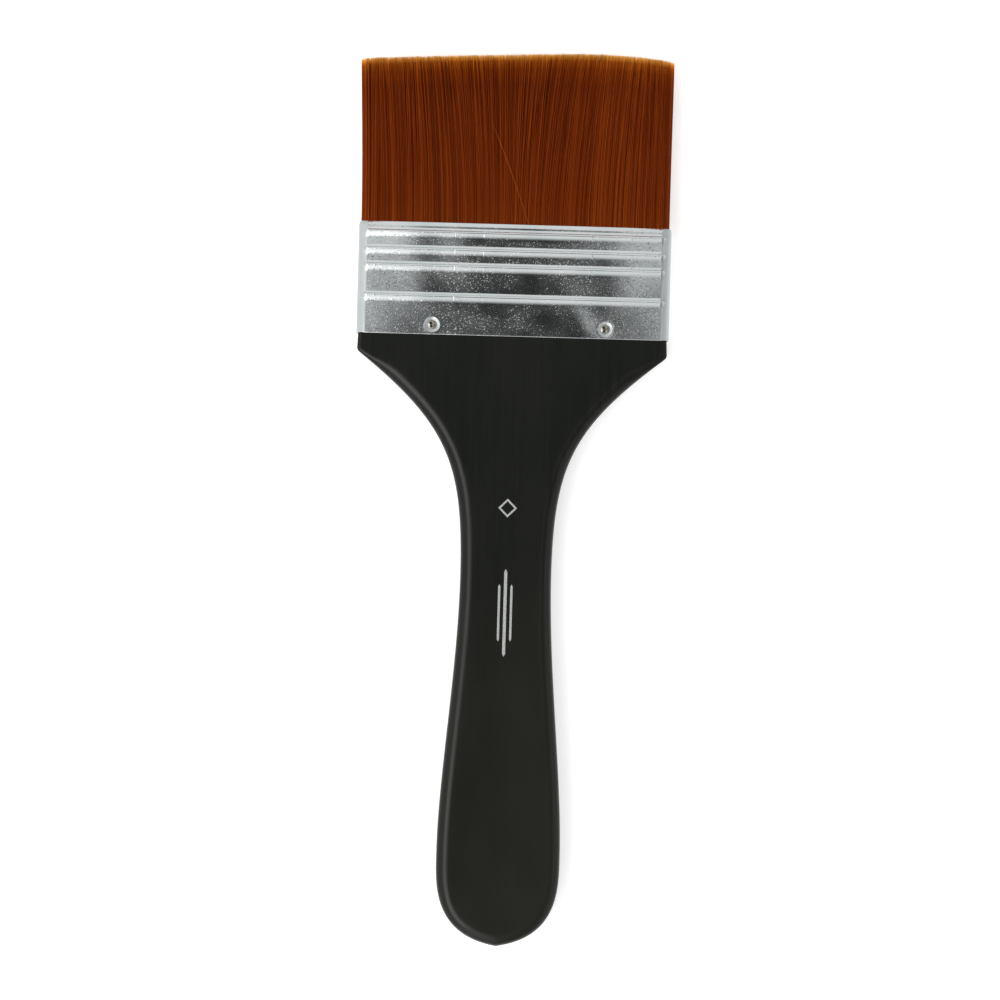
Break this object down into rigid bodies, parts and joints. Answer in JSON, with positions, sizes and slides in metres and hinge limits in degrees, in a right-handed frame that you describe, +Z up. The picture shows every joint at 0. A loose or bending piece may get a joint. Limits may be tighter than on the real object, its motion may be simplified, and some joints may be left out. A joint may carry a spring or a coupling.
{
  "type": "flat paint brush",
  "caption": "Wide flat brush for varnish or gesso: a lacquered board handle nailed into a beaded tinplate ferrule, with a dense tuft of synthetic filaments that flexes.",
  "frame": {"origin": "middle of the brush's length and width, on the surface that it lies on", "axes": "+X across the brush, +Y along it from the handle to the bristle tips, +Z up out of its front face"},
  "size_m": [0.0774, 0.22, 0.0111],
  "materials": {
    "lacquered_wood": "satin",
    "tinplate": "gloss",
    "nail_steel": "satin",
    "resin": "gloss",
    "plug_wood": "matte",
    "filament": "satin"
  },
  "bodies": {
    "brush": {"handle": "lacquered_wood", "ferrule": "tinplate", "nail_front_left": "nail_steel", "nail_front_right": "nail_steel", "nail_back_left": "nail_steel", "nail_back_right": "nail_steel", "resin_set": "resin", "spacer_plug": "plug_wood", "front_bank_root": "filament", "back_bank_root": "filament"},
    "tuft": {"tuft": "filament"}
  },
  "joints": [
    {"name": "tuft_flex", "type": "hinge", "parent": "brush", "child": "tuft", "pos_m": [0, 0.07362, 0.00555], "axis": [1, 0, 0], "range_deg": [-30, 30], "stiffness_Nm_per_rad": 0.25}
  ]
}
